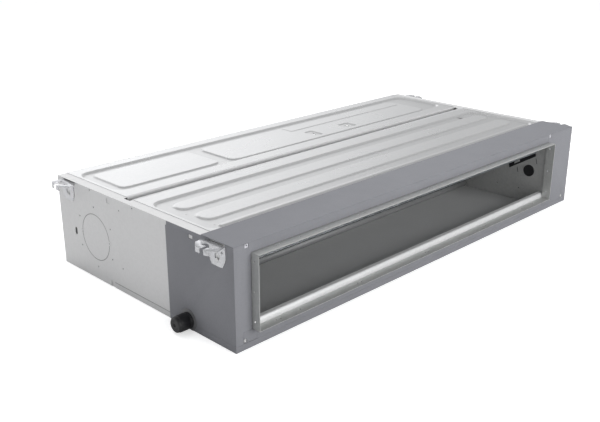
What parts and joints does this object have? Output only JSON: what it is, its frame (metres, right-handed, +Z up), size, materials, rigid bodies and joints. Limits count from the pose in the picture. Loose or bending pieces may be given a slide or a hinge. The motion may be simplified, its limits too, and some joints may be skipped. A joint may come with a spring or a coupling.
{
  "type": "ducted air conditioner indoor unit",
  "caption": "Slim ducted fan-coil unit with front outlet collar, rear filters, leaning coil over a drain pan, blowers behind a partition and slotted hanging brackets.",
  "frame": {"origin": "centre of the casing's underside, in the plane of the bottom covers", "axes": "+X along the outlet towards the pipe side, +Y from the outlet to the return side, +Z up as the unit hangs"},
  "size_m": [1.4878, 0.746, 0.245],
  "materials": {
    "galvanised": "satin",
    "foam": "matte",
    "pan_foam": "matte",
    "fin_aluminium": "satin",
    "copper": "satin",
    "brass": "satin",
    "black_rubber": "matte",
    "white_plastic": "matte",
    "dark_plastic": "matte",
    "motor_paint": "satin",
    "steel": "polished",
    "board": "gloss",
    "mesh": "matte"
  },
  "bodies": {
    "casing": {"left_side_panel": "galvanised", "right_side_panel": "galvanised", "front_top_cover": "galvanised", "rear_top_cover": "galvanised", "front_bottom_cover": "galvanised", "rear_bottom_cover": "galvanised", "outlet_face_frame": "galvanised", "outlet_collar": "galvanised", "return_air_frame": "galvanised", "fan_deck_partition": "galvanised", "pipe_chamber_wall": "galvanised", "wall_plug": "black_rubber", "fresh_air_knockout": "galvanised", "foam_skin_top": "foam", "foam_skin_left": "foam", "foam_skin_right": "foam", "foam_skin_front": "foam", "bracket_front_left": "galvanised", "bracket_front_right": "galvanised", "bracket_rear_left": "galvanised", "bracket_rear_right": "galvanised", "casing_screws": "steel", "coil_fin_pack": "fin_aluminium", "coil_end_plates": "galvanised", "coil_return_bends": "copper", "coil_gas_header": "copper", "coil_liquid_distributor": "copper", "coil_support_rail": "galvanised", "gas_pipe": "copper", "liquid_pipe": "copper", "flare_nuts": "brass", "pipe_plate": "galvanised", "drain_pan": "pan_foam", "drain_lip": "galvanised", "drain_socket": "white_plastic", "scroll_lower_halves_left": "dark_plastic", "scroll_upper_halves_left": "dark_plastic", "scroll_lower_halves_right": "dark_plastic", "scroll_upper_halves_right": "dark_plastic", "fan_motor_left": "motor_paint", "fan_motor_right": "motor_paint", "motor_brackets": "galvanised", "motor_rubber_rings": "black_rubber", "filter_rails": "galvanised", "electrical_box": "galvanised", "electrical_cover": "galvanised", "control_board": "board", "terminal_block": "white_plastic", "cable_glands": "black_rubber"},
    "left_rotor": {"fan_shaft_left": "steel", "fan_wheel_1": "dark_plastic", "fan_wheel_2": "dark_plastic"},
    "right_rotor": {"fan_shaft_right": "steel", "fan_wheel_3": "dark_plastic", "fan_wheel_4": "dark_plastic"},
    "left_filter": {"filter_frame_left": "white_plastic", "filter_mesh_left": "mesh"},
    "right_filter": {"filter_frame_right": "white_plastic", "filter_mesh_right": "mesh"},
    "drain_cap": {"drain_cap": "black_rubber"}
  },
  "joints": [
    {"name": "left_rotor_spin", "type": "hinge", "parent": "casing", "child": "left_rotor", "pos_m": [-0.3825, 0.175, 0.112], "axis": [1, 0, 0], "continuous": true},
    {"name": "right_rotor_spin", "type": "hinge", "parent": "casing", "child": "right_rotor", "pos_m": [0.2475, 0.175, 0.112], "axis": [1, 0, 0], "continuous": true},
    {"name": "left_filter_slide", "type": "slide", "parent": "casing", "child": "left_filter", "axis": [0, 0, -1], "range_m": [0, 0.2]},
    {"name": "right_filter_slide", "type": "slide", "parent": "casing", "child": "right_filter", "axis": [0, 0, -1], "range_m": [0, 0.2]},
    {"name": "drain_cap_pull", "type": "slide", "parent": "casing", "child": "drain_cap", "axis": [-1, 0, 0], "range_m": [0, 0.04]}
  ]
}
